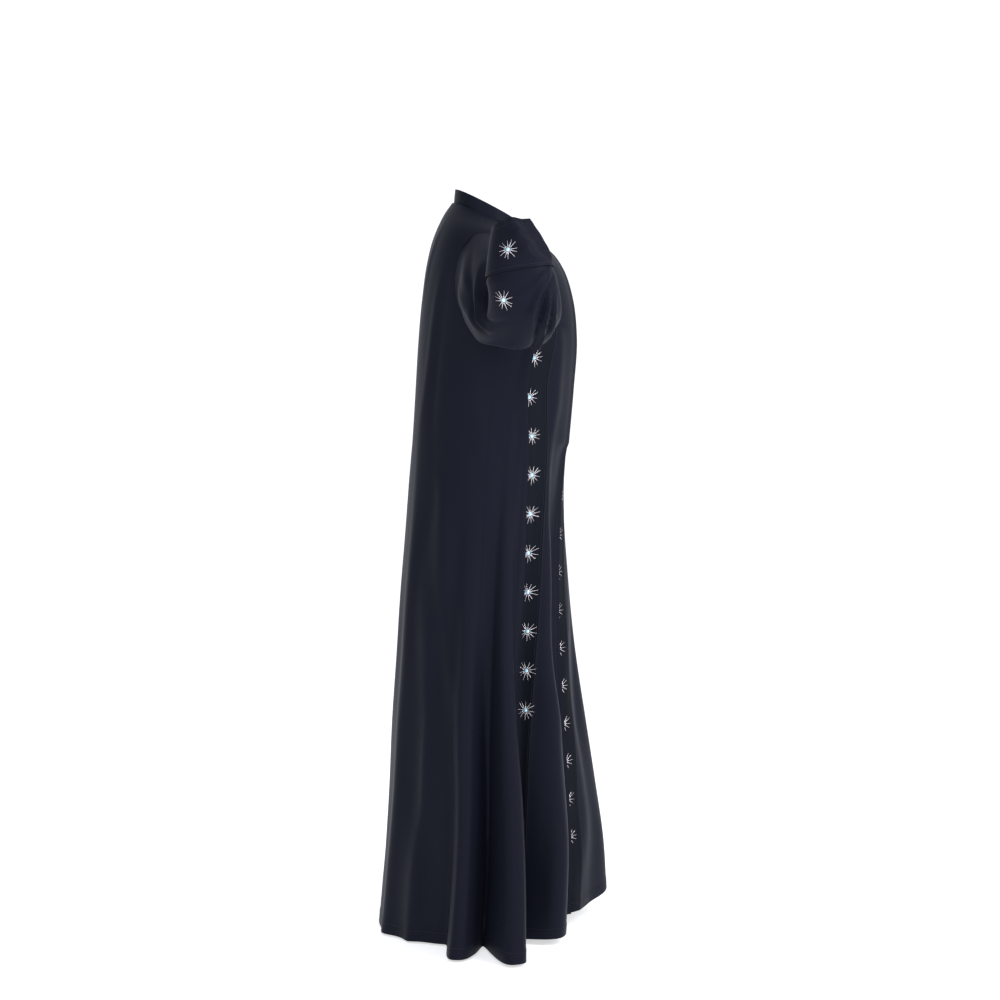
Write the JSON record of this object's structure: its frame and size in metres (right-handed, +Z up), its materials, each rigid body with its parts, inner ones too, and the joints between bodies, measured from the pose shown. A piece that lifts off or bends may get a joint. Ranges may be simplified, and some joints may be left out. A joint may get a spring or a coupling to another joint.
{
  "type": "abaya cloak, worn, with both sleeves raised",
  "caption": "Floor-length worn abaya cloak in dark crepe with flared side folds, raised cuffed sleeves and beaded star bands down the lapped front.",
  "frame": {"origin": "middle of the neckline, where the wearer's neck and shoulders hold the cloak up", "axes": "+Z up, -Y the way the wearer faces, -X the wearer's right"},
  "size_m": [0.8418, 0.4573, 1.4532],
  "materials": {
    "crepe": "matte crepe",
    "band": "matte crepe"
  },
  "bodies": {
    "root": {"back": "crepe", "near_front": "crepe", "near_band": "band", "near_lap": "crepe", "far_front": "crepe", "far_band": "band", "neckband": "crepe", "near_sleeve": "crepe", "far_sleeve": "crepe", "near_cuff": "crepe", "far_cuff": "crepe"}
  },
  "joints": []
}
